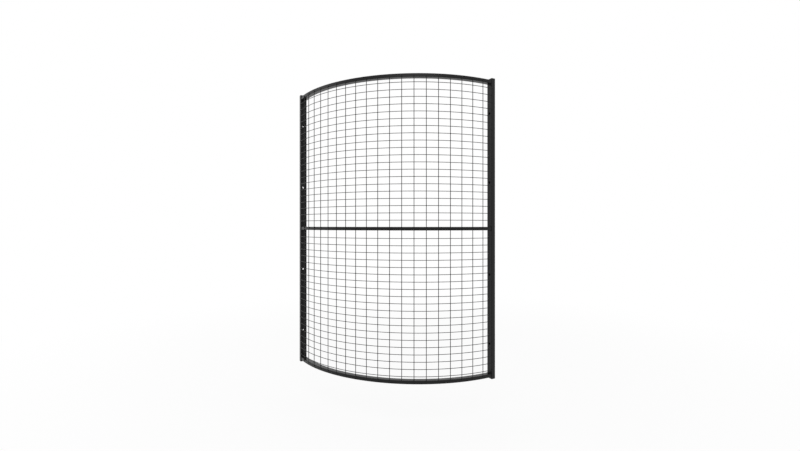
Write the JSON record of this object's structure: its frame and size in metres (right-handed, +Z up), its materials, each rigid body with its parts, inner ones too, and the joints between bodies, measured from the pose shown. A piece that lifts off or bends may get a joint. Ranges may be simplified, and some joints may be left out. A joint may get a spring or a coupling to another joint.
{
  "type": "curved machine guard fence panel",
  "caption": "Quarter-round machine guard panel: two drilled upright tubes joined by bent rails, with welded wire mesh on the outside of the bend.",
  "frame": {"origin": "middle of the flat face that the left upright turns to its post, at half the panel's height", "axes": "+Z up along the uprights; +Y out of the left upright's post face; +X from the left upright towards the axis of the bend, and out of the right upright's post face"},
  "size_m": [0.6685, 0.6685, 1.303],
  "materials": {
    "upright_coat": "black powder coat, fine texture, satin",
    "rail_coat": "black powder coat, fine texture, satin",
    "mesh_coat": "black powder coat over welded wire, satin",
    "plug_plastic": "moulded black plastic, matt"
  },
  "bodies": {
    "root": {"left_upright": "upright_coat", "right_upright": "upright_coat", "top_rail": "rail_coat", "middle_rail": "rail_coat", "bottom_rail": "rail_coat", "upper_mesh_1": "mesh_coat", "upper_mesh_2": "mesh_coat", "upper_mesh_3": "mesh_coat", "upper_mesh_4": "mesh_coat", "upper_mesh_5": "mesh_coat", "lower_mesh_1": "mesh_coat", "lower_mesh_2": "mesh_coat", "lower_mesh_3": "mesh_coat", "lower_mesh_4": "mesh_coat", "lower_mesh_5": "mesh_coat", "left_top_plug": "plug_plastic", "left_bottom_plug": "plug_plastic", "right_top_plug": "plug_plastic", "right_bottom_plug": "plug_plastic"}
  },
  "joints": []
}
